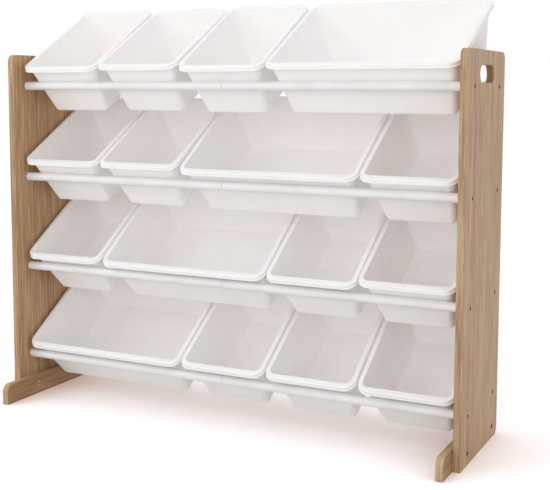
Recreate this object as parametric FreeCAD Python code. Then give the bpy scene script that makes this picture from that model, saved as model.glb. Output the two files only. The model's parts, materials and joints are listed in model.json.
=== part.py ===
import FreeCAD, Part
import math
import os

# Toy storage rack: two laminated side panels on foot boards, four tiers of paired
# steel tubes, and moulded bins that hang tilted between the tubes of each pair.
# Millimetres. X runs across the rack, Y from front to rear, Z up.
# While it is laid out, y = 0 is the front edge of the side panels; every shape is
# moved to the rack's own origin, the middle of its footprint, as it is exported.

# --- side panels and foot boards ---
rack_width = 1060.0
panel_height = 787.0
panel_depth = 262.0
board_thickness = 15.0
panel_corner_radius = 16.0
hand_slot_length = 100.0
hand_slot_height = 34.0
hand_slot_y = 130.0
hand_slot_z = 742.0
foot_height = 45.0
foot_reach = 59.0
foot_corner_radius = 17.0
foot_bolt_z = 23.6

# --- tubes ---
tube_radius = 9.5
tube_wall = 1.2
front_tube_y = 46.0
tube_span = 179.0
lowest_tube_z = 96.2
tier_pitch = 207.2
tier_names = ("top", "upper", "lower", "bottom")
tube_joint_gap = 0.6
joiner_length = 80.0
plug_depth = 30.0
inner_fit = 0.05

# --- screws of the panels, and the bolts and sleeve nuts of the feet ---
fastener_sides = 8
screw_radius = 2.2
screw_head_radius = 4.4
screw_recess = 0.8
screw_bite = 22.0
bolt_radius = 3.0
bolt_head_radius = 5.6
bolt_recess = 0.4
sleeve_radius = 4.4
sleeve_rim_radius = 6.8
sleeve_rim_height = 1.4
hole_clearance = 0.2

# --- bins ---
front_draft = 8.1
rear_draft = 5.0
side_draft = 8.8
tub_depth = 127.4
tub_length = 263.5
tub_wall = 2.0
tub_corner_radius = 15.0
tub_edge_rise = 3.5
tub_edge_inset = 2.5
flange_width = 12.6
side_flange_width = 8.7
flange_thickness = 2.2
flange_corner_radius = 27.0
lip_drop = 8.0
lip_thickness = 1.8
rim_ease = 0.9
corner_steps = 3
seat_gap = 0.3
bin_gap = 3.0
bin_end_gap = 6.0
# Sizes of the bins of each tier, from left to right, in small bins; the top tier comes first.
units_across = 5
small = 1
large = 2
tier_layout = (
    (small, small, small, large),
    (small, small, large, small),
    (small, large, small, small),
    (large, small, small, small),
)
# Tilt of the rim of each bin, in degrees: the bins don't settle alike on their tubes.
tier_tilts = (
    (30.1, 28.7, 30.1, 28.8),
    (30.5, 30.4, 33.4, 32.6),
    (34.1, 35.9, 35.2, 31.6),
    (34.6, 33.9, 33.6, 33.8),
)

# --- values that follow from them ---
panel_inner_x = rack_width / 2 - board_thickness
panel_outer_x = rack_width / 2
foot_inner_x = panel_inner_x - board_thickness
rear_tube_y = front_tube_y + tube_span
small_bin_width = (2 * (panel_inner_x - bin_end_gap) - (units_across - 1) * bin_gap) / units_across
seat_radius = tube_radius + seat_gap
edge_depth = tub_depth - tub_edge_rise
x_axis = FreeCAD.Vector(1, 0, 0)
origin = FreeCAD.Vector(0, 0, 0)


def drafted(depth, draft):
    """How far a wall with this draft has come in at a depth below the rim."""
    return depth * math.tan(math.radians(draft))


def rim_root(rim_tilt):
    """y and z of the root of a tilted bin's rim, from the axis of its front tube.

    A bin hangs with its front wall behind the front tube and with its floor on top of the
    rear tube. The two contacts place it.
    """
    tilt = math.radians(rim_tilt)
    lean = math.radians(rim_tilt + front_draft)
    spread = math.cos(math.radians(front_draft))
    rise = tub_depth + seat_radius - tube_span * math.sin(tilt)
    y = (seat_radius * math.cos(tilt) - rise * math.sin(lean)) / spread
    z = (seat_radius * math.sin(tilt) + rise * math.cos(lean)) / spread
    return y, z


def tub_rear_y(rim_tilt):
    """Rearmost y of a tilted bin: the rear edge of its floor, where the easing starts."""
    tilt = math.radians(rim_tilt)
    length = tub_length - drafted(edge_depth, rear_draft)
    root_y = front_tube_y + rim_root(rim_tilt)[0]
    return root_y + length * math.cos(tilt) + edge_depth * math.sin(tilt)


rack_rear_y = max(tub_rear_y(rim_tilt) for tilts in tier_tilts for rim_tilt in tilts)
rack_middle_y = (rack_rear_y - foot_reach) / 2


def tier_z(tier):
    """Height of the tube axes of a tier; tier 0 is the top one."""
    return lowest_tube_z + (len(tier_names) - 1 - tier) * tier_pitch


def flat_face(points):
    return Part.Face(Part.makePolygon(list(points) + [points[0]]))


def ring_solid(rings, looped=False):
    """Solid whose skin runs from ring to ring; a looped one joins its ends, others are lidded.

    Every ring has the same number of points, and edges that face each other are parallel.
    """
    faces = []
    pairs = list(zip(rings, rings[1:]))
    if looped:
        pairs.append((rings[-1], rings[0]))
    else:
        faces.append(flat_face(rings[0]))
        faces.append(flat_face(rings[-1]))
    for lower, upper in pairs:
        for index in range(len(lower)):
            after = (index + 1) % len(lower)
            faces.append(flat_face((lower[index], lower[after], upper[after], upper[index])))
    solid = Part.makeSolid(Part.makeShell(faces)).removeSplitter()
    if solid.Volume < 0:
        solid.reverse()
    return solid


# --- bins ---
def rim_ring(half_width, inset, radius, depth):
    """Round-cornered ring of a bin, inset from the outside of its flange, at a depth below its rim."""
    return corner_ring(
        half_width - inset,
        inset - flange_width,
        tub_length + flange_width - inset,
        radius - inset,
        depth,
    )


def tub_ring(half_width, inset, depth):
    """Round-cornered ring of a bin's drafted wall, taken in by an inset, at a depth below its rim."""
    return corner_ring(
        half_width - side_flange_width - drafted(depth, side_draft) - inset,
        drafted(depth, front_draft) + inset,
        tub_length - drafted(depth, rear_draft) - inset,
        tub_corner_radius - inset,
        depth,
    )


def corner_ring(half_width, near, far, radius, depth):
    """Points of a rectangle with round corners, from y = near to y = far, at a depth."""
    centres = (
        (half_width - radius, near + radius, -90),
        (half_width - radius, far - radius, 0),
        (radius - half_width, far - radius, 90),
        (radius - half_width, near + radius, 180),
    )
    points = []
    for x, y, start in centres:
        for step in range(corner_steps + 1):
            angle = math.radians(start + 90 * step / corner_steps)
            points.append(FreeCAD.Vector(x + radius * math.cos(angle), y + radius * math.sin(angle), -depth))
    return points


def make_bin(width):
    """Moulded bin, level: rim plane at z = 0, root of the front wall at y = 0.

    The rings go round its section: floor, wall, flange, down and up the lip, wall and floor inside.
    """
    half = width / 2
    corner = flange_corner_radius
    return ring_solid([
        tub_ring(half, tub_edge_inset, tub_depth),
        tub_ring(half, 0, edge_depth),
        tub_ring(half, 0, flange_thickness),
        rim_ring(half, lip_thickness, corner, flange_thickness),
        rim_ring(half, lip_thickness, corner, lip_drop),
        rim_ring(half, 0, corner, lip_drop),
        rim_ring(half, 0, corner, rim_ease),
        rim_ring(half, rim_ease, corner, 0),
        tub_ring(half, tub_wall, 0),
        tub_ring(half, tub_wall, tub_depth - tub_wall),
    ])


def hang_bin(shape, x, tier, rim_tilt):
    """Tilt a level bin and set it on the tubes of a tier."""
    root_y, root_z = rim_root(rim_tilt)
    hung = shape.copy()
    hung.rotate(origin, x_axis, rim_tilt)
    hung.translate(FreeCAD.Vector(x, front_tube_y + root_y, tier_z(tier) + root_z))
    return hung


def bin_width(units):
    """Width of a bin that takes the place of this many small ones and the gaps between them."""
    return units * small_bin_width + (units - 1) * bin_gap


def bin_edges(tier):
    """Left and right edge of the rim of each bin of a tier."""
    edges = []
    left = bin_end_gap - panel_inner_x
    for units in tier_layout[tier]:
        right = left + bin_width(units)
        edges.append((left, right))
        left = right + bin_gap
    return edges


# --- boards ---
def board(corners, start_x):
    """Board cut to an outline of (y, z, radius) corners, with its inner side at start_x."""
    edges = []
    ends = []
    for index, (y, z, radius) in enumerate(corners):
        corner = FreeCAD.Vector(start_x, y, z)
        before = corners[index - 1]
        after = corners[(index + 1) % len(corners)]
        to_before = (FreeCAD.Vector(start_x, before[0], before[1]) - corner).normalize()
        to_after = (FreeCAD.Vector(start_x, after[0], after[1]) - corner).normalize()
        first = corner + to_before * radius
        last = corner + to_after * radius
        if radius > 0:
            middle = corner + (to_before + to_after) * radius * (1 - math.sqrt(0.5))
            edges.append(Part.Arc(first, middle, last).toShape())
        ends.append((first, last))
    for index, (first, last) in enumerate(ends):
        following = ends[(index + 1) % len(ends)][0]
        edges.append(Part.LineSegment(last, following).toShape())
    outline = Part.Wire(Part.__sortEdges__(edges))
    return Part.Face(outline).extrude(x_axis * board_thickness)


def hand_slot():
    """Obround slot through the right panel, near its top."""
    radius = hand_slot_height / 2
    reach = hand_slot_length / 2 - radius
    corner = FreeCAD.Vector(panel_inner_x, hand_slot_y - reach, hand_slot_z - radius)
    slot = Part.makeBox(board_thickness, 2 * reach, hand_slot_height, corner)
    for y in (hand_slot_y - reach, hand_slot_y + reach):
        end = FreeCAD.Vector(panel_inner_x, y, hand_slot_z)
        slot = slot.fuse(Part.makeCylinder(radius, board_thickness, end, x_axis))
    return slot.removeSplitter()


def right_side_panel():
    """Right panel: square at the bottom of its front edge, round at its other corners."""
    corners = (
        (0, 0, 0),
        (panel_depth, 0, panel_corner_radius),
        (panel_depth, panel_height, panel_corner_radius),
        (0, panel_height, panel_corner_radius),
    )
    holes = [panel_hole(y, z, screw_radius, screw_head_radius) for _, y, z in tube_axes()]
    holes += [panel_hole(y, z, bolt_radius, bolt_head_radius) for y, z in foot_bolt_axes()]
    return board(corners, panel_inner_x).cut(hand_slot()).cut(Part.makeCompound(holes))


def right_foot():
    """Right foot board, on the inner side of its panel and reaching out in front of it."""
    corners = (
        (-foot_reach, 0, 0),
        (panel_depth, 0, 0),
        (panel_depth, foot_height, 0),
        (-foot_reach, foot_height, foot_corner_radius),
    )
    holes = []
    for y, z in foot_bolt_axes():
        ends = [(foot_inner_x, sleeve_radius + inner_fit), (panel_inner_x, sleeve_radius + inner_fit)]
        holes.append(turned(ends, y, z))
    return board(corners, foot_inner_x).cut(Part.makeCompound(holes))


# --- small fasteners: few-sided, because there are so many of them ---
def turned(profile, y, z, looped=False):
    """Few-sided piece along X, through a profile of (x, radius) points."""
    rings = []
    for x, radius in profile:
        points = []
        for side in range(fastener_sides):
            angle = 2 * math.pi * (side + 0.5) / fastener_sides
            points.append(FreeCAD.Vector(x, y + radius * math.cos(angle), z + radius * math.sin(angle)))
        rings.append(points)
    return ring_solid(rings, looped)


def panel_hole(y, z, radius, head_radius):
    """Countersunk hole through the right panel, for a screw or a bolt."""
    wide = head_radius + hole_clearance
    narrow = radius + hole_clearance
    head = panel_outer_x - screw_recess
    profile = [
        (panel_inner_x, narrow),
        (head - (wide - narrow), narrow),
        (head, wide),
        (panel_outer_x, wide),
    ]
    return turned(profile, y, z)


def countersunk(y, z, radius, head_radius, tip):
    """Countersunk screw or bolt in the right panel, with its tip at x = tip."""
    head = panel_outer_x - screw_recess
    profile = [(tip, radius), (head - (head_radius - radius), radius), (head, head_radius)]
    return turned(profile, y, z)


def sleeve_nut(y, z):
    """Sleeve nut in the right foot, with its rim on the board's inner side."""
    rim = foot_inner_x - sleeve_rim_height
    profile = [
        (rim, sleeve_rim_radius),
        (foot_inner_x, sleeve_rim_radius),
        (foot_inner_x, sleeve_radius),
        (panel_inner_x, sleeve_radius),
        (panel_inner_x, bolt_radius + inner_fit),
        (rim, bolt_radius + inner_fit),
    ]
    return turned(profile, y, z, looped=True)


def tube_plug(y, z):
    """Plug in the right end of a tube, with a blind bore for the panel's screw."""
    radius = tube_radius - tube_wall - inner_fit
    profile = [
        (panel_inner_x - plug_depth, radius),
        (panel_inner_x, radius),
        (panel_inner_x, screw_radius + inner_fit),
        (panel_inner_x - screw_bite, screw_radius + inner_fit),
    ]
    return turned(profile, y, z)


def tube_joiner(y, z):
    """Joiner inside the two halves of a tube."""
    radius = tube_radius - tube_wall - inner_fit
    return turned([(-joiner_length / 2, radius), (joiner_length / 2, radius)], y, z)


# --- tubes ---
def tube_axes():
    """Name, y and z of every tube, from the top tier down."""
    axes = []
    for tier, tier_name in enumerate(tier_names):
        axes.append((tier_name + "_front", front_tube_y, tier_z(tier)))
        axes.append((tier_name + "_rear", rear_tube_y, tier_z(tier)))
    return axes


def foot_bolt_axes():
    """y and z of the bolts of a foot, below the two rows of tubes."""
    return ((front_tube_y, foot_bolt_z), (rear_tube_y, foot_bolt_z))


def right_tube_half(y, z):
    """Right half of a tube, from its joint in the middle of the rack to the panel."""
    start = FreeCAD.Vector(tube_joint_gap / 2, y, z)
    length = panel_inner_x - start.x
    outside = Part.makeCylinder(tube_radius, length, start, x_axis)
    return outside.cut(Part.makeCylinder(tube_radius - tube_wall, length, start, x_axis))


# --- export ---
def save(shape, node):
    """Write one node, in the rack's own frame."""
    placed = shape.copy()
    placed.translate(FreeCAD.Vector(0, -rack_middle_y, 0))
    placed.exportStep("parts/" + node + ".step")


def save_pair(shape, pattern):
    """Write a piece of the right side, and its mirror image on the left side."""
    save(shape, pattern % "right")
    save(shape.mirror(origin, x_axis), pattern % "left")


os.makedirs("parts", exist_ok=True)
save_pair(right_side_panel(), "%s_side_panel")
save_pair(right_foot(), "%s_foot")

screw_tip = panel_inner_x - screw_bite
screws = []
plugs = []
joiners = []
for tube_name, y, z in tube_axes():
    save_pair(right_tube_half(y, z), tube_name + "_tube_%s_half")
    screws.append(countersunk(y, z, screw_radius, screw_head_radius, screw_tip))
    plugs.append(tube_plug(y, z))
    joiners.append(tube_joiner(y, z))
save_pair(Part.makeCompound(screws), "%s_panel_screws")
save_pair(Part.makeCompound(plugs), "%s_tube_plugs")
save(Part.makeCompound(joiners), "tube_joiners")

bolt_tip = (foot_inner_x + panel_inner_x) / 2
bolts = []
nuts = []
for y, z in foot_bolt_axes():
    bolts.append(countersunk(y, z, bolt_radius, bolt_head_radius, bolt_tip))
    nuts.append(sleeve_nut(y, z))
save_pair(Part.makeCompound(bolts), "%s_foot_bolts")
save_pair(Part.makeCompound(nuts), "%s_foot_sleeve_nuts")

for tier, tier_name in enumerate(tier_names):
    for index, (left, right) in enumerate(bin_edges(tier)):
        size = "large" if tier_layout[tier][index] == large else "small"
        node = "%s_tier_bin_%d_%s" % (tier_name, index + 1, size)
        hung = hang_bin(make_bin(right - left), (left + right) / 2, tier, tier_tilts[tier][index])
        save(hung, node)
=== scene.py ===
import bpy
import bmesh
import json
import math
from mathutils import Matrix, Vector


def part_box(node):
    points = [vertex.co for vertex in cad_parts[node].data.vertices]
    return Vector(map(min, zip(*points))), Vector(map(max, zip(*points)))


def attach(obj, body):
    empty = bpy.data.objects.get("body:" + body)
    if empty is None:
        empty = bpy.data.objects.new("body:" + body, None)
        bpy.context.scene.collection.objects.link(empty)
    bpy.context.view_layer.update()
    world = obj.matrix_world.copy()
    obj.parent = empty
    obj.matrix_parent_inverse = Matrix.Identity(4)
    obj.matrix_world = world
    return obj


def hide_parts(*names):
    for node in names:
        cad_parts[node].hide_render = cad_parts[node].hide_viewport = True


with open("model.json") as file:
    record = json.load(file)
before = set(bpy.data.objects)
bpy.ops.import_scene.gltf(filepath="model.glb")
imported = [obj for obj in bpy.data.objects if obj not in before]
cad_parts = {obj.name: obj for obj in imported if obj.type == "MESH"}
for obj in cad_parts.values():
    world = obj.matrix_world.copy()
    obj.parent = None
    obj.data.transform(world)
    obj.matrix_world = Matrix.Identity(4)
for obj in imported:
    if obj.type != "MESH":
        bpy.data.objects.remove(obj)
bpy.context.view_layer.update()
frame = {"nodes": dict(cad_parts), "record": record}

tiers = ("top", "upper", "lower", "bottom")
sides = {"left": -1, "right": 1}   # which way the outer face of each side's board looks along X
nearby = 0.0001       # metres off a line or plane that still count as on it
alongAxis = 0.9       # a normal with this share along an axis points along it
wallSlope = 0.5       # a face whose normal has less than this share along Z is a wall
overshoot = 0.002     # how far a cutter reaches past the face that it opens
turnedSides = 40      # facets round a turned piece and round its hole


# working by hand: one piece selected at a time, faces and edges picked by their place
def only(piece):
    bpy.ops.object.select_all(action="DESELECT")
    piece.select_set(True)
    bpy.context.view_layer.objects.active = piece


def started(name):
    piece = bpy.context.object
    piece.name = name
    piece.data.name = name
    bpy.ops.object.mode_set(mode="EDIT")
    return piece


def leaveEditing():
    bpy.ops.object.mode_set(mode="OBJECT")


def pick(piece, kind, test):
    bpy.ops.mesh.select_mode(type=kind)
    bpy.ops.mesh.select_all(action="DESELECT")
    mesh = bmesh.from_edit_mesh(piece.data)
    mesh.normal_update()
    for element in {"EDGE": mesh.edges, "FACE": mesh.faces}[kind]:
        if test(element):
            element.select_set(True)
    bmesh.update_edit_mesh(piece.data)


def applied(piece, kind, **settings):
    only(piece)
    modifier = piece.modifiers.new(kind, kind)
    for name, value in settings.items():
        setattr(modifier, name, value)
    bpy.ops.object.modifier_apply(modifier=modifier.name)


def easedCorners(piece, width, steps, corner):
    angle = math.radians(corner)
    applied(piece, "BEVEL", width=width, segments=steps, limit_method="ANGLE", angle_limit=angle)


def smoothed(piece, crease=35):
    only(piece)
    bpy.ops.object.shade_smooth_by_angle(angle=math.radians(crease))
    applied(piece, "WEIGHTED_NORMAL", keep_sharp=True)


def placedCopy(model, name, location, turn=(0, 0, 0)):
    piece = model.copy()
    piece.data = model.data.copy()
    piece.name = name
    piece.data.name = name
    bpy.context.scene.collection.objects.link(piece)
    piece.location = location
    piece.rotation_euler = turn
    only(piece)
    bpy.ops.object.transform_apply(location=True, rotation=True, scale=True)
    return piece


def joined(pieces, name):
    only(pieces[0])
    for piece in pieces[1:]:
        piece.select_set(True)
    bpy.ops.object.join()
    pieces[0].name = name
    pieces[0].data.name = name
    return pieces[0]


def discarded(piece):
    bpy.data.objects.remove(piece)


def opaque(colour):
    return (*colour, 1)


# shader trees: maths is written on wires, every other node comes from node()
class Wire:
    def __init__(self, tree, socket=None):
        self.tree = tree
        self.socket = socket

    def node(self, kind, sockets, settings=None, out=0):
        made = self.tree.nodes.new("ShaderNode" + kind)
        settings = dict(settings or {})
        stops = settings.pop("stops", ())
        for name, value in settings.items():
            setattr(made, name, value)
        for index, (position, colour) in enumerate(stops):
            if index > 1:
                made.color_ramp.elements.new(position)
            made.color_ramp.elements[index].position = position
            made.color_ramp.elements[index].color = opaque(colour)
        for name, value in sockets.items():
            if isinstance(value, Wire):
                self.tree.links.new(value.socket, made.inputs[name])
            else:
                made.inputs[name].default_value = value
        return Wire(self.tree, made.outputs[out]) if made.outputs else made

    def maths(self, operation, first, second):
        return self.node("Math", {0: first, 1: second}, {"operation": operation})

    def __add__(self, other):
        return self.maths("ADD", self, other)

    def __radd__(self, other):
        return self.maths("ADD", other, self)

    def __sub__(self, other):
        return self.maths("SUBTRACT", self, other)

    def __rsub__(self, other):
        return self.maths("SUBTRACT", other, self)

    def __mul__(self, other):
        return self.maths("MULTIPLY", self, other)

    def __rmul__(self, other):
        return self.maths("MULTIPLY", other, self)

    def noise(self, scale, detail=2.0, roughness=0.5, distortion=0.0):
        sockets = {"Scale": scale, "Detail": detail, "Roughness": roughness, "Distortion": distortion}
        return self.node("TexNoise", {"Vector": self, **sockets})

    def between(self, low, high):
        sockets = {"Value": self, "From Min": low, "From Max": high}
        return self.node("MapRange", sockets, {"interpolation_type": "SMOOTHSTEP"})

    def ramp(self, *stops):
        return self.node("ValToRGB", {"Fac": self}, {"stops": stops})

    def mixed(self, first, second):
        return self.node("Mix", {0: self, 6: first, 7: second}, {"data_type": "RGBA"}, out=2)

    def tinted(self, tint):
        sockets = {0: 1.0, 6: self, 7: opaque(tint)}
        return self.node("Mix", sockets, {"data_type": "RGBA", "blend_type": "MULTIPLY"}, out=2)


def newMaterial(name):
    material = bpy.data.materials.new(name)
    material.use_nodes = True
    material.node_tree.nodes.clear()
    start = Wire(material.node_tree)
    return material, start.node("TexCoord", {}, out="Object")


def stretched(place, scale):
    return place.node("Mapping", {"Vector": place, "Scale": scale})


def finished(material, place, height, depth, sockets):
    bump = place.node("Bump", {"Height": height, "Distance": depth, "Strength": 1.0})
    shader = place.node("BsdfPrincipled", {**sockets, "Normal": bump})
    place.node("OutputMaterial", {"Surface": shader})
    return material


def screenColour(red, green, blue):
    channels = []
    for value in (red, green, blue):
        part = value / 255
        channels.append(part / 12.92 if part <= 0.04045 else ((part + 0.055) / 1.055) ** 2.4)
    return tuple(channels)


# wood-grain laminate: broad bands, streaks, fine lines and short dark pores along the grain
oakSettings = {
    "shade": screenColour(153, 116, 79),
    "body": screenColour(179, 142, 103),
    "light": screenColour(198, 164, 125),
    "pore": screenColour(122, 87, 57),
    "alongGrain": 0.035,    # how far the pattern is drawn out along the grain
    "bands": {"scale": 15.0, "detail": 3.0, "roughness": 0.55, "distortion": 0.4},
    "streaks": {"scale": 150.0, "detail": 4.0, "roughness": 0.6, "distortion": 0.25},
    "lines": {"scale": 330.0, "detail": 2.0, "roughness": 0.5},
    "pores": {"scale": 620.0, "detail": 1.0, "roughness": 0.5},
    "toneShares": (0.12, 0.43, 0.45),    # of bands, streaks and lines
    "toneStops": (0.41, 0.5, 0.59),
    "poreShortening": 1.6,
    "poreLevels": (0.64, 0.74),
    "poreStrength": 0.5,
    "roughness": 0.46,
    "roughnessSpread": 0.12,
    "specular": 0.6,
    "lineRelief": 0.5,
    "relief": 0.0001,
}


def oakLaminate(name, grainAxes, tint=None):
    look = oakSettings
    material, place = newMaterial(name)
    scale = [look["alongGrain"] if axis in grainAxes else 1.0 for axis in "XYZ"]
    grain = stretched(place, scale)
    bands = grain.noise(**look["bands"])
    streaks = grain.noise(**look["streaks"])
    lines = grain.noise(**look["lines"])
    poreScale = [value * look["poreShortening"] if value < 1 else value for value in scale]
    pores = stretched(place, poreScale).noise(**look["pores"]).between(*look["poreLevels"])
    bandShare, streakShare, lineShare = look["toneShares"]
    tone = bands * bandShare + streaks * streakShare + lines * lineShare
    colour = tone.ramp(*zip(look["toneStops"], (look["shade"], look["body"], look["light"])))
    colour = (pores * look["poreStrength"]).mixed(colour, opaque(look["pore"]))
    if tint:
        colour = colour.tinted(tint)
    return finished(material, place, lines * look["lineRelief"] - pores, look["relief"], {
        "Base Color": colour,
        "Roughness": look["roughness"] + lines * look["roughnessSpread"],
        "Specular IOR Level": look["specular"],
    })


# milky moulded plastic of the bins
tubPlastic = {
    "pale": screenColour(250, 248, 248),
    "milky": screenColour(247, 244, 244),
    "cloud": {"scale": 9.0, "detail": 3.0, "roughness": 0.55},
    "cloudLevels": (0.35, 0.65),
    "grain": {"scale": 900.0, "detail": 2.0, "roughness": 0.5},
    "roughness": 0.42,
    "cloudRoughness": 0.08,
    "grainRoughness": 0.05,
    "cloudRelief": 4.0,
    "relief": 0.00003,
    "scatter": 1.0,
    "scatterRadius": (1.0, 0.9, 0.84),
    "scatterDepth": 0.0015,
}


def milkyPlastic(name):
    look = tubPlastic
    material, place = newMaterial(name)
    cloud = place.noise(**look["cloud"])
    grain = place.noise(**look["grain"])
    colours = (opaque(look["milky"]), opaque(look["pale"]))
    return finished(material, place, grain + cloud * look["cloudRelief"], look["relief"], {
        "Base Color": cloud.between(*look["cloudLevels"]).mixed(*colours),
        "Roughness": look["roughness"] + cloud * look["cloudRoughness"] + grain * look["grainRoughness"],
        "Subsurface Weight": look["scatter"],
        "Subsurface Radius": look["scatterRadius"],
        "Subsurface Scale": look["scatterDepth"],
    })


# white powder coat of the tubes, with a faint orange peel
powderSettings = {
    "white": screenColour(236, 234, 235),
    "dull": screenColour(229, 227, 228),
    "cloud": {"scale": 12.0, "detail": 2.0, "roughness": 0.5},
    "cloudLevels": (0.35, 0.7),
    "peel": {"scale": 420.0, "detail": 2.0, "roughness": 0.55},
    "roughness": 0.28,
    "peelRoughness": 0.1,
    "coat": 0.3,
    "coatRoughness": 0.15,
    "relief": 0.00005,
}


def powderCoat(name):
    look = powderSettings
    material, place = newMaterial(name)
    cloud = place.noise(**look["cloud"])
    peel = place.noise(**look["peel"])
    colours = (opaque(look["white"]), opaque(look["dull"]))
    return finished(material, place, peel, look["relief"], {
        "Base Color": cloud.between(*look["cloudLevels"]).mixed(*colours),
        "Roughness": look["roughness"] + peel * look["peelRoughness"],
        "Coat Weight": look["coat"],
        "Coat Roughness": look["coatRoughness"],
    })


# zinc-plated and blackened steel of the small fasteners
steelSettings = {
    "mottle": {"scale": 700.0, "detail": 3.0, "roughness": 0.6},
    "mottleLevels": (0.3, 0.7),
    "mottleRoughness": 0.2,
    "scratch": {"scale": 2600.0, "detail": 2.0, "roughness": 0.5},
    "scratchStretch": (1.0, 1.0, 0.08),
    "relief": 0.00002,
}


def platedSteel(name, bright, dull, roughness):
    look = steelSettings
    material, place = newMaterial(name)
    mottle = place.noise(**look["mottle"])
    scratch = stretched(place, look["scratchStretch"]).noise(**look["scratch"])
    colours = (opaque(screenColour(*bright)), opaque(screenColour(*dull)))
    return finished(material, place, scratch, look["relief"], {
        "Base Color": mottle.between(*look["mottleLevels"]).mixed(*colours),
        "Metallic": 1.0,
        "Roughness": roughness + mottle * look["mottleRoughness"],
    })


# plain moulded plastic of the plugs and joiners inside the tubes
mouldedSettings = {
    "cloud": {"scale": 60.0, "detail": 2.0, "roughness": 0.5},
    "darkShare": 0.9,
    "grain": {"scale": 1500.0, "detail": 2.0, "roughness": 0.5},
    "roughness": 0.45,
    "grainRoughness": 0.1,
    "relief": 0.00004,
}


def mouldedPlastic(name, colour):
    look = mouldedSettings
    material, place = newMaterial(name)
    grain = place.noise(**look["grain"])
    clear = screenColour(*colour)
    dark = [value * look["darkShare"] for value in clear]
    return finished(material, place, grain, look["relief"], {
        "Base Color": place.noise(**look["cloud"]).mixed(opaque(clear), opaque(dark)),
        "Roughness": look["roughness"] + grain * look["grainRoughness"],
    })


# each wood finish names the axes its grain runs along, and a band's grain follows the edge
finishes = {
    "panel_laminate": oakLaminate("panelLaminate", "Z"),
    "panel_edge": oakLaminate("panelEdgeBand", "YZ", (0.91, 0.97, 1.04)),
    # painted shade: the foot boards' faces are a darker, warmer copy of the panel laminate, standing in for
    # the shade under the bins
    "foot_laminate": oakLaminate("shadeDarkenedFootLaminate", "Y", (0.75, 0.68, 0.57)),
    "foot_edge": oakLaminate("footEdgeBand", "YZ", (1.1, 1.21, 1.39)),
    "tube_white": powderCoat("whitePowderCoat"),
    "bin_plastic": milkyPlastic("milkyPlastic"),
    "plug_plastic": mouldedPlastic("plugPlastic", (222, 222, 220)),
    "joiner_plastic": mouldedPlastic("joinerPlastic", (216, 216, 214)),
    "screw_steel": platedSteel("darkScrewSteel", (62, 50, 41), (38, 30, 25), 0.42),
    "bolt_steel": platedSteel("darkBoltSteel", (62, 50, 41), (38, 30, 25), 0.42),
    "sleeve_steel": platedSteel("zincSleeveSteel", (214, 200, 176), (170, 156, 134), 0.3),
}
for row in frame["record"]["subparts"]:   # also the nodes that stay inside the tubes
    node = frame["nodes"][row["node"]]
    node.data.materials.clear()
    node.data.materials.append(finishes[row["material_slot"]])
print("materials: %d" % len(finishes))


def dressed(piece, body, slot, *nodes):
    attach(piece, body)
    if not piece.data.materials:
        piece.data.materials.append(finishes[slot])
    if nodes:
        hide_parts(*nodes)
    return piece


# the bins: a drafted tub with a round floor edge, a flange and a lip that turns down
tubSettings = {
    "rimLength": 0.2887,
    "flange": 0.0126,
    "sideFlange": 0.0087,
    "wall": 0.002,
    "cornerRadius": 0.027,
    "cornerSteps": 12,
    "depth": 0.1274,
    "frontDraft": math.radians(8.1),
    "rearDraft": math.radians(5),
    "sideDraft": math.radians(8.8),
    "floorEdge": 0.006,
    "floorSteps": 4,
    "throatEdge": 0.0014,
    "throatSteps": 3,
    "lip": 0.008,
    "lipFlare": 0.0014,
    "flareDrop": 0.0022,
    "rimEdge": 0.0014,
    "rimSteps": 4,
    "lipEdge": 0.0005,
    "lipSteps": 2,
    "lipCorner": 60,    # degrees, sharper edges of the wall are eased
    "rimEase": 0.0009,    # how far the rim of the solid is cut back, which its box shows
}
tubTilts = {    # degrees, from the left bin of a tier to its right one
    "top": (30.1, 28.7, 30.1, 28.8),
    "upper": (30.5, 30.4, 33.4, 32.6),
    "lower": (34.1, 35.9, 35.2, 31.6),
    "bottom": (34.6, 33.9, 33.6, 33.8),
}


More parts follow.
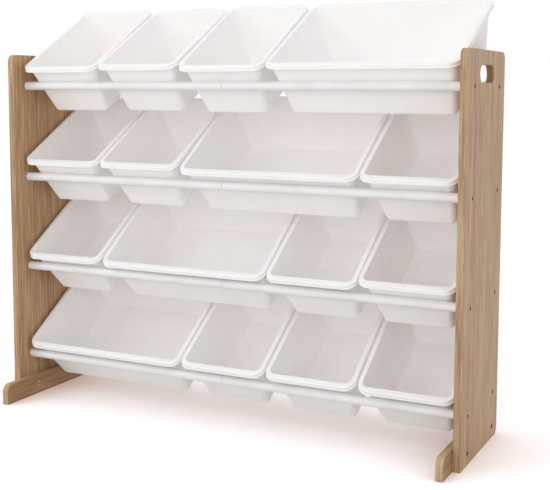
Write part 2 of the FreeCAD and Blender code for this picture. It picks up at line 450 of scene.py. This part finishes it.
def tubModel(name, width):
    size = tubSettings
    front = -size["flange"]
    rear = size["rimLength"] - size["flange"]
    depth = size["depth"] - size["wall"]
    bpy.ops.object.select_all(action="DESELECT")
    bpy.ops.mesh.primitive_plane_add(size=1, location=(0, 0, 0))
    tub = started(name)
    flare = size["lipFlare"]
    flat = (width - 2 * flare, size["rimLength"] - 2 * flare)   # the flange, inside the flare of its lip
    bpy.ops.transform.resize(value=(*flat, 1), center_override=(0, 0, 0))
    bpy.ops.transform.translate(value=(0, (front + rear) / 2, 0))
    bpy.ops.mesh.bevel(offset=size["cornerRadius"] - flare, segments=size["cornerSteps"], affect="VERTICES")
    bpy.ops.mesh.select_all(action="SELECT")
    bpy.ops.mesh.inset(thickness=size["flange"] + size["wall"] - flare)
    insetHalf = width / 2 - size["flange"] - size["wall"]
    halfTop = width / 2 - size["sideFlange"] - size["wall"]
    bpy.ops.transform.resize(value=(halfTop / insetHalf, 1, 1), center_override=(0, 0, 0))

    # the tub hangs from the inner ring, narrower towards its floor
    top = (size["wall"], rear - size["flange"] - size["wall"])
    bottom = (
        size["wall"] + depth * math.tan(size["frontDraft"]),
        top[1] - depth * math.tan(size["rearDraft"]),
    )
    halfBottom = halfTop - depth * math.tan(size["sideDraft"])
    bpy.ops.mesh.extrude_region_move(TRANSFORM_OT_translate={"value": (0, 0, -depth)})
    bpy.ops.transform.resize(
        value=(halfBottom / halfTop, (bottom[1] - bottom[0]) / (top[1] - top[0]), 1),
        center_override=(0, sum(top) / 2, -depth),
    )
    bpy.ops.transform.translate(value=(0, (sum(bottom) - sum(top)) / 2, 0))
    pick(tub, "EDGE", lambda edge: all(v.co.z < -depth + nearby for v in edge.verts))
    bpy.ops.mesh.bevel(offset=size["floorEdge"], segments=size["floorSteps"], affect="EDGES")
    pick(tub, "EDGE", topsWall)
    bpy.ops.mesh.bevel(offset=size["throatEdge"], segments=size["throatSteps"], affect="EDGES")

    # the lip turns down all round the flange
    pick(tub, "EDGE", lambda edge: edge.is_boundary)
    straight = size["flareDrop"] - size["lip"]
    bpy.ops.mesh.extrude_region_move(TRANSFORM_OT_translate={"value": (0, 0, straight)})
    bpy.ops.mesh.extrude_region_move(TRANSFORM_OT_translate={"value": (0, 0, -size["flareDrop"])})
    bpy.ops.transform.resize(
        value=(width / flat[0], size["rimLength"] / flat[1], 1),
        center_override=(0, (front + rear) / 2, 0),
    )
    pick(tub, "EDGE", topsWall)
    bpy.ops.mesh.bevel(offset=size["rimEdge"], segments=size["rimSteps"], affect="EDGES")
    bpy.ops.mesh.select_all(action="SELECT")
    bpy.ops.mesh.normals_make_consistent(inside=False)
    mesh = bmesh.from_edit_mesh(tub.data)
    floor = min(mesh.faces, key=lambda face: face.calc_center_median().z)
    if floor.normal.z < 0:
        bpy.ops.mesh.flip_normals()
    leaveEditing()
    applied(tub, "SOLIDIFY", thickness=size["wall"], offset=-1, use_even_offset=True)
    easedCorners(tub, size["lipEdge"], size["lipSteps"], size["lipCorner"])
    smoothed(tub)
    return tub


def topsWall(edge):
    onRim = all(abs(v.co.z) < nearby for v in edge.verts)
    return onRim and any(abs(face.normal.z) < wallSlope for face in edge.link_faces)


def hungTub(model, node, body, lean):
    size = tubSettings
    low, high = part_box(node)
    rear = size["rimLength"] - size["flange"] - size["rimEase"]
    place = (
        (low.x + high.x) / 2,
        low.y + size["flange"] * math.cos(lean) - size["rimEase"] * math.sin(lean),
        high.z - rear * math.sin(lean),
    )
    tub = placedCopy(model, body + "_tub", place, (lean, 0, 0))
    return dressed(tub, body, "bin_plastic", node)


tubModels = {}
for node in sorted(frame["nodes"]):
    if "_tier_bin_" not in node:
        continue
    low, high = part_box(node)
    kind = node.split("_")[-1]
    if kind not in tubModels:
        tubModels[kind] = tubModel(kind + "Tub", high.x - low.x)
    tierName, number = node.split("_")[0], node.split("_")[3]
    lean = math.radians(tubTilts[tierName][int(number) - 1])
    hungTub(tubModels[kind], node, "%s_bin_%s" % (tierName, number), lean)
for model in tubModels.values():
    discarded(model)
print("bins hung")


# the tubes: two halves that meet in the middle of the rack
tubeSettings = {"sides": 64, "wall": 0.0012, "endEdge": 0.0008, "endSteps": 3}


def tubeModel(radius, length):
    size = tubeSettings
    bpy.ops.object.select_all(action="DESELECT")
    bpy.ops.mesh.primitive_cylinder_add(vertices=size["sides"], radius=radius, depth=length)
    tube = started("tubeHalf")
    pick(tube, "FACE", lambda face: abs(face.normal.z) > alongAxis)
    bpy.ops.mesh.inset(thickness=size["wall"], use_individual=True)
    bpy.ops.mesh.delete(type="FACE")
    pick(tube, "EDGE", lambda edge: edge.is_boundary)
    bpy.ops.mesh.bridge_edge_loops()
    pick(tube, "EDGE", lambda edge: isTubeEnd(edge, radius))
    bpy.ops.mesh.bevel(offset=size["endEdge"], segments=size["endSteps"], affect="EDGES")
    bpy.ops.mesh.select_all(action="SELECT")
    bpy.ops.mesh.normals_make_consistent(inside=False)
    leaveEditing()
    smoothed(tube)
    return tube


def isTubeEnd(edge, radius):
    level = abs(edge.verts[0].co.z - edge.verts[1].co.z) < nearby
    return level and all(v.co.xy.length > radius - nearby for v in edge.verts)


firstLow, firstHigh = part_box("top_front_tube_left_half")
tubeHalf = tubeModel((firstHigh.z - firstLow.z) / 2, firstHigh.x - firstLow.x)
tubeAxes = []
for tier in tiers:
    for row in ("front", "rear"):
        for side in sides:
            node = "%s_%s_tube_%s_half" % (tier, row, side)
            low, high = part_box(node)
            middle = (low + high) / 2
            piece = placedCopy(tubeHalf, "%s_%s_tube_%s" % (tier, row, side), middle, (0, math.pi / 2, 0))
            dressed(piece, "rack", "tube_white", node)
        tubeAxes.append((middle.y, middle.z))
discarded(tubeHalf)
print("tubes: %d" % len(tubeAxes))


# screws, bolts and sleeve nuts, turned along Z with their outer face up, then laid along X
def turnedPiece(name, facets, steps):
    bpy.ops.object.select_all(action="DESELECT")
    height, radius = steps[0]
    place = (0, 0, height)
    bpy.ops.mesh.primitive_circle_add(vertices=facets, radius=radius, fill_type="NGON", location=place)
    piece = started(name)
    for nextHeight, nextRadius in steps[1:]:
        bpy.ops.mesh.extrude_region_move(TRANSFORM_OT_translate={"value": (0, 0, nextHeight - height)})
        share = nextRadius / radius
        bpy.ops.transform.resize(value=(share, share, 1), center_override=(0, 0, nextHeight))
        height, radius = nextHeight, nextRadius
    bpy.ops.mesh.select_all(action="SELECT")
    bpy.ops.mesh.normals_make_consistent(inside=False)
    leaveEditing()
    return piece


def bored(piece, cutter):
    applied(piece, "BOOLEAN", operation="DIFFERENCE", solver="EXACT", object=cutter)
    discarded(cutter)


def hexSocket(acrossCorners, depth):
    return turnedPiece("socketCutter", 6, [(depth, acrossCorners / 2), (-depth, acrossCorners / 2)])


# head and shank are radii, a socket is measured across its corners
screwSettings = {"head": 0.0044, "shank": 0.0022, "edge": 0.0003, "socket": 0.0046, "socketDepth": 0.002}
boltSettings = {"head": 0.0056, "shank": 0.003, "edge": 0.0003, "socket": 0.0058, "socketDepth": 0.0026}
turnedCrease = 30    # degrees


def countersunk(name, size, length):
    neck = size["head"] - size["shank"]
    piece = turnedPiece(name, turnedSides, [
        (0, size["head"] - size["edge"]),
        (-size["edge"], size["head"]),
        (-size["edge"] - neck, size["shank"]),
        (-length + neck / 2, size["shank"]),
        (-length, size["shank"] / 2),
    ])
    bored(piece, hexSocket(size["socket"], size["socketDepth"]))
    smoothed(piece, turnedCrease)
    return piece


def fastenersOf(side, name, model, node, slot, places):
    outward = sides[side]
    low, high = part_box(node)
    face = high.x if outward > 0 else low.x
    turn = (0, outward * math.pi / 2, 0)
    copies = [placedCopy(model, name, (face, y, z), turn) for y, z in places]
    return dressed(joined(copies, "%s_%s" % (side, name)), "rack", slot, node)


screwLow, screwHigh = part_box("right_panel_screws")
boltLow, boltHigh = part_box("right_foot_bolts")
boltAxes = [(y, (boltLow.z + boltHigh.z) / 2) for y in sorted({y for y, z in tubeAxes})]
screw = countersunk("screw", screwSettings, screwHigh.x - screwLow.x)
bolt = countersunk("bolt", boltSettings, boltHigh.x - boltLow.x)
for side in sides:
    fastenersOf(side, "screws", screw, side + "_panel_screws", "screw_steel", tubeAxes)
    fastenersOf(side, "bolts", bolt, side + "_foot_bolts", "bolt_steel", boltAxes)
discarded(screw)
discarded(bolt)

# rim, sleeve and bore are radii
sleeveSettings = {
    "rim": 0.0068,
    "rimHeight": 0.0014,
    "sleeve": 0.0044,
    "bore": 0.003,
    "boreSides": 32,
    "edge": 0.0004,
}


def sleeveModel(length):
    size = sleeveSettings
    piece = turnedPiece("sleeve", turnedSides, [
        (0, size["rim"] - size["edge"]),
        (-size["edge"], size["rim"]),
        (-size["rimHeight"], size["rim"]),
        (-size["rimHeight"], size["sleeve"]),
        (-length, size["sleeve"]),
    ])
    bore = turnedPiece("boreCutter", size["boreSides"], [
        (overshoot, size["bore"] + size["edge"] + overshoot),
        (-size["edge"], size["bore"]),
        (-length - overshoot, size["bore"]),
    ])
    bored(piece, bore)
    smoothed(piece, turnedCrease)
    return piece


nutLow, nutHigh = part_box("right_foot_sleeve_nuts")
nut = sleeveModel(nutHigh.x - nutLow.x)
for side, outward in sides.items():
    low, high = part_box(side + "_foot_sleeve_nuts")
    face = low.x if outward > 0 else high.x
    nuts = [placedCopy(nut, "nut", (face, y, z), (0, -outward * math.pi / 2, 0)) for y, z in boltAxes]
    dressed(joined(nuts, side + "_sleeve_nuts"), "rack", "sleeve_steel", side + "_foot_sleeve_nuts")
discarded(nut)
print("fasteners set")


# side panels and foot boards: laminated board, edge-banded all round
panelSettings = {
    "cornerRadius": 0.016,
    "cornerSteps": 12,
    "slotLength": 0.1,
    "slotHeight": 0.034,
    "slotFromFront": 0.13,
    "slotFromTop": 0.045,
    "slotSteps": 16,
    "edge": 0.0012,
    "edgeSteps": 3,
    "edgeCorner": 50,    # degrees, sharper edges are eased
    "holeSlack": 0.0002,
}
footSettings = {
    "cornerRadius": 0.017,
    "cornerSteps": 12,
    "edge": 0.0012,
    "edgeSteps": 3,
    "edgeCorner": 50,
    "holeSlack": 0.0001,
}


def boardBlock(name, low, high, size, roundCorner):
    bpy.ops.object.select_all(action="DESELECT")
    bpy.ops.mesh.primitive_cube_add(size=1, location=(0, 0, 0))
    block = started(name)
    bpy.ops.transform.resize(value=high - low, center_override=(0, 0, 0))
    bpy.ops.transform.translate(value=(low + high) / 2)
    middle = (low + high) / 2
    pick(block, "EDGE", lambda edge: runsAcross(edge) and roundCorner(edge.verts[0].co - middle))
    bpy.ops.mesh.bevel(offset=size["cornerRadius"], segments=size["cornerSteps"], affect="EDGES")
    leaveEditing()
    return block


def runsAcross(edge):
    return (edge.verts[0].co - edge.verts[1].co).yz.length < nearby


def banded(board, faceFinish, edgeFinish):
    board.data.materials.clear()
    board.data.materials.append(finishes[faceFinish])
    board.data.materials.append(finishes[edgeFinish])
    for face in board.data.polygons:
        face.material_index = 0 if abs(face.normal.x) > alongAxis else 1


def slotCutter(low, high):
    size = panelSettings
    reach = Vector((high.x - low.x, size["slotLength"] / 2, size["slotHeight"] / 2))
    middle = Vector(((low.x + high.x) / 2, low.y + size["slotFromFront"], high.z - size["slotFromTop"]))
    rounding = {"cornerRadius": size["slotHeight"] / 2 - nearby / 10, "cornerSteps": size["slotSteps"]}
    return boardBlock("slotCutter", middle - reach, middle + reach, rounding, lambda place: True)


def screwHoles(side, low, high):
    outward = sides[side]
    slack = panelSettings["holeSlack"]
    thickness = high.x - low.x
    face = high.x if outward > 0 else low.x
    cutters = []
    rows = ((tubeAxes, screwSettings, "_panel_screws"), (boltAxes, boltSettings, "_foot_bolts"))
    for places, size, node in rows:
        headLow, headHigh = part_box(side + node)
        recess = abs(face - (headHigh.x if outward > 0 else headLow.x))
        wide, narrow = size["head"] + slack, size["shank"] + slack
        steps = [
            (overshoot, wide),
            (-recess - size["edge"], wide),
            (-recess - size["edge"] - (wide - narrow), narrow),
            (-thickness - overshoot, narrow),
        ]
        cutter = turnedPiece("holeCutter", turnedSides, steps)
        for y, z in places:
            cutters.append(placedCopy(cutter, "hole", (face, y, z), (0, outward * math.pi / 2, 0)))
        discarded(cutter)
    return joined(cutters, "holeCutters")


def makePanel(side):
    size = panelSettings
    low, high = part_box(side + "_side_panel")
    panel = boardBlock(side + "_panel", low, high, size, lambda place: place.z > 0 or place.y > 0)
    bored(panel, slotCutter(low, high))
    easedCorners(panel, size["edge"], size["edgeSteps"], size["edgeCorner"])
    bored(panel, screwHoles(side, low, high))
    banded(panel, "panel_laminate", "panel_edge")
    smoothed(panel)
    return dressed(panel, "rack", "panel_laminate", side + "_side_panel")


def makeFoot(side):
    size = footSettings
    outward = sides[side]
    low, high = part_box(side + "_foot")
    foot = boardBlock(side + "_foot_board", low, high, size, lambda place: place.z > 0 and place.y < 0)
    easedCorners(foot, size["edge"], size["edgeSteps"], size["edgeCorner"])
    radius = sleeveSettings["sleeve"] + size["holeSlack"]
    face = high.x if outward > 0 else low.x
    turn = (0, outward * math.pi / 2, 0)
    steps = [(overshoot, radius), (low.x - high.x - overshoot, radius)]
    cutter = turnedPiece("sleeveHole", turnedSides, steps)
    cutters = [placedCopy(cutter, "hole", (face, y, z), turn) for y, z in boltAxes]
    discarded(cutter)
    bored(foot, joined(cutters, "sleeveHoles"))
    banded(foot, "foot_laminate", "foot_edge")
    smoothed(foot)
    return dressed(foot, "rack", "foot_laminate", side + "_foot")


for side in sides:
    makePanel(side)
    makeFoot(side)
print("boards cut")


# studio: a pale floor, soft lamps and a plain white surround
studioSettings = {
    "ambient": 0.81,
    "ambientColour": (1.0, 1.0, 1.0, 1),
    "floorColour": (0.76, 0.75, 0.735, 1),
    "floorShade": (1.08, 1.21, 1.3, 1),    # how much of the floor's own light and shadow shows
    "contactShade": (0.82, 0.93, 0.95, 1),    # painted shade: the floor's seen colour close to the rack, darker and warmer where the rack is near
    "contactReach": 0.15,
    "contactLevels": (0.3, 0.85),
    "contactSamples": 8,
    "floorGlow": (0.2, 0.07, 0.03, 1),
    "floorSize": 30.0,
}
lampSettings = {
    "nearLamp": {"place": (0.9, -3.9, 1.3), "aim": (0, 0, 0.4), "width": 2.2, "power": 28},
    "leftLamp": {"place": (-2.6, -3.0, 2.2), "aim": (0, 0, 0.4), "width": 2.2, "power": 27},
}


def seenDirectly(start):
    path = start.node("LightPath", {}).socket.node
    names = ("Is Camera Ray", "Is Glossy Ray", "Is Transmission Ray")
    camera, glossy, through = (Wire(start.tree, path.outputs[name]) for name in names)
    return start.maths("MAXIMUM", start.maths("MAXIMUM", camera, glossy), through)


def makeFloor():
    look = studioSettings
    bpy.ops.object.select_all(action="DESELECT")
    bpy.ops.mesh.primitive_plane_add(size=look["floorSize"], location=(0, 0, 0))
    floor = bpy.context.object
    floor.name = "studioFloor"
    material = bpy.data.materials.new("paleFloor")
    material.use_nodes = True
    material.node_tree.nodes.clear()
    start = Wire(material.node_tree)
    matt = start.node("BsdfDiffuse", {"Color": look["floorColour"]})
    samples = {"samples": look["contactSamples"]}
    # painted shade: ambient occlusion darkens the floor's seen colour near the rack, on top of the floor's
    # own shadow
    openness = start.node("AmbientOcclusion", {"Distance": look["contactReach"]}, samples, out="AO")
    tint = openness.between(*look["contactLevels"]).mixed(look["contactShade"], look["floorShade"])
    shade = start.node("BsdfDiffuse", {"Color": tint})
    glow = start.node("Emission", {"Color": look["floorGlow"], "Strength": 1.0})
    seen = start.node("AddShader", {0: shade, 1: glow})
    both = start.node("MixShader", {0: seenDirectly(start), 1: matt, 2: seen})
    start.node("OutputMaterial", {"Surface": both})
    floor.data.materials.append(material)


def makeSurround():
    look = studioSettings
    world = bpy.data.worlds.new("whiteSurround")
    bpy.context.scene.world = world
    world.use_nodes = True
    world.node_tree.nodes.clear()
    start = Wire(world.node_tree)
    strength = look["ambient"] + seenDirectly(start) * (1 - look["ambient"])
    glow = start.node("Background", {"Color": look["ambientColour"], "Strength": strength})
    start.node("OutputWorld", {"Surface": glow})


def makeLamp(name, settings):
    data = bpy.data.lights.new(name, "AREA")
    data.size = settings["width"]
    data.energy = settings["power"]
    lamp = bpy.data.objects.new(name, data)
    bpy.context.scene.collection.objects.link(lamp)
    lamp.location = settings["place"]
    lamp.rotation_euler = (Vector(settings["aim"]) - lamp.location).to_track_quat("-Z", "Y").to_euler()


makeFloor()
makeSurround()
for lampName, settings in lampSettings.items():
    makeLamp(lampName, settings)

cameraSettings = {
    "place": Vector((1.0495, -1.9367, 0.7109)),
    "yaw": math.radians(26.58),
    "pitch": math.radians(-5.53),
    "roll": math.radians(0.16),
    "focalPixels": 1026.94,
    "imageWidth": 550,
    "centreRise": 56,     # pixels from the picture's middle up to the optical axis
    "sensorWidth": 36.0,
    "clipStart": 0.05,
}


def makeCamera():
    view = cameraSettings
    data = bpy.data.cameras.new("studioCamera")
    camera = bpy.data.objects.new("studioCamera", data)
    bpy.context.scene.collection.objects.link(camera)
    data.sensor_fit = "HORIZONTAL"
    data.sensor_width = view["sensorWidth"]
    data.lens = view["focalPixels"] / view["imageWidth"] * view["sensorWidth"]
    data.shift_y = -view["centreRise"] / view["imageWidth"]
    data.clip_start = view["clipStart"]
    yaw, pitch = view["yaw"], view["pitch"]
    ahead = Vector((-math.sin(yaw) * math.cos(pitch), math.cos(yaw) * math.cos(pitch), math.sin(pitch)))
    across = Vector((math.cos(yaw), math.sin(yaw), 0))
    turn = Matrix.Rotation(-view["roll"], 3, ahead)
    across = turn @ across
    up = across.cross(ahead)
    turned = Matrix((across, up, -ahead)).transposed().to_4x4()
    camera.matrix_world = Matrix.Translation(view["place"]) @ turned
    bpy.context.scene.camera = camera


makeCamera()
bpy.context.scene.view_settings.view_transform = "Standard"
bpy.context.scene.cycles.diffuse_bounces = 10    # light crosses several milky walls
print("studio lit")
